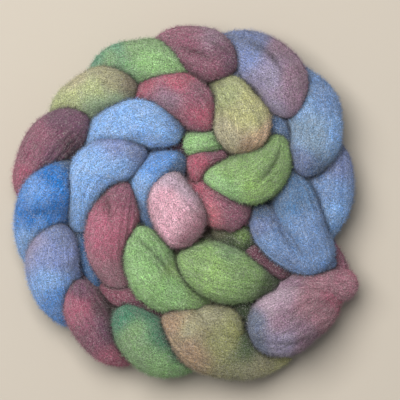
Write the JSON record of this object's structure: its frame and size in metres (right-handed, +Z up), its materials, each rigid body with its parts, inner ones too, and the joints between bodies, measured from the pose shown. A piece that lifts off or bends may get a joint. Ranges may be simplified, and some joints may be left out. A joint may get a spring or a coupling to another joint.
{
  "type": "coiled wool roving",
  "caption": "One dyed length of combed wool roving, hand-chained into soft overlapping loops and coiled flat in a spiral, to rest on a surface.",
  "frame": {"origin": "middle of the underside, on the surface that the coil rests on", "axes": "+Z up through the coil's thickness, its shortest side; +Y along its longest side, towards the top of the coil as seen from above"},
  "size_m": [0.2138, 0.2194, 0.0543],
  "materials": {
    "dyed_wool": "matte combed wool with a soft short fuzz, hand-dyed in blues, greens, olive, maroon, rose and pink"
  },
  "bodies": {
    "root": {"wool_roving": "dyed_wool"}
  },
  "joints": []
}
